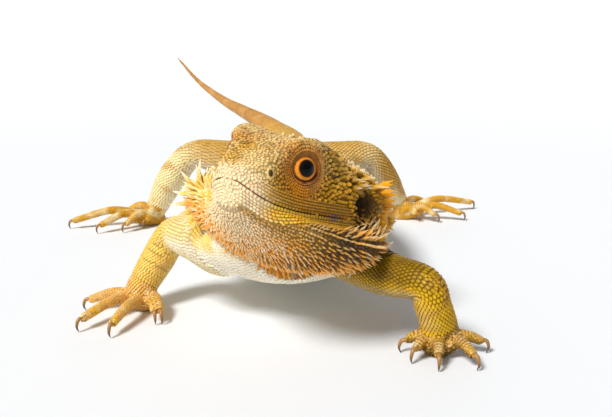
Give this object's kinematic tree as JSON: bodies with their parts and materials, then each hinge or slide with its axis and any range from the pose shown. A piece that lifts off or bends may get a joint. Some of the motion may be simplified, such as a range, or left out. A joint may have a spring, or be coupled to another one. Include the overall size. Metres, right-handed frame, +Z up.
{
  "type": "bearded dragon",
  "caption": "Still life-size bearded dragon standing on four feet, head turned to its right, spiny beard spread below the jaw and tail raised.",
  "frame": {"origin": "centre of the bounding box on the floor under the feet", "axes": "+Z up, -Y the way the body faces, +X towards the animal's own left"},
  "size_m": [0.2236, 0.3872, 0.0801],
  "materials": {
    "head_scales": "small keeled scales, golden tan, satin",
    "beard_spines": "cream and orange spiny scales with dark skin between",
    "back_scales": "keeled scales, golden tan",
    "body_scales": "keeled scales, cream below and golden tan above",
    "tail_scales": "keeled scales, brownish orange",
    "arm_scales": "keeled scales, yellow with brown edges",
    "leg_scales": "keeled scales, pale golden tan",
    "eyes": "wet, orange iris with a dark pupil",
    "claws": "smooth dark horn"
  },
  "bodies": {
    "root": {"head": "head_scales", "beard": "beard_spines", "neck": "back_scales", "torso": "body_scales", "tail_base": "tail_scales", "tail_middle": "tail_scales", "tail_tip": "tail_scales", "upper_arm_right": "arm_scales", "forearm_right": "arm_scales", "hand_right": "arm_scales", "thigh_right": "leg_scales", "shank_right": "leg_scales", "foot_right": "leg_scales", "eye_right": "eyes", "upper_arm_left": "arm_scales", "forearm_left": "arm_scales", "hand_left": "arm_scales", "thigh_left": "leg_scales", "shank_left": "leg_scales", "foot_left": "leg_scales", "eye_left": "eyes", "claw_hand_right_1": "claws", "claw_hand_right_2": "claws", "claw_hand_right_3": "claws", "claw_hand_right_4": "claws", "claw_hand_right_5": "claws", "claw_hand_left_1": "claws", "claw_hand_left_2": "claws", "claw_hand_left_3": "claws", "claw_hand_left_4": "claws", "claw_hand_left_5": "claws", "claw_foot_right_1": "claws", "claw_foot_right_2": "claws", "claw_foot_right_3": "claws", "claw_foot_right_4": "claws", "claw_foot_right_5": "claws", "claw_foot_left_1": "claws", "claw_foot_left_2": "claws", "claw_foot_left_3": "claws", "claw_foot_left_4": "claws", "claw_foot_left_5": "claws"}
  },
  "joints": []
}
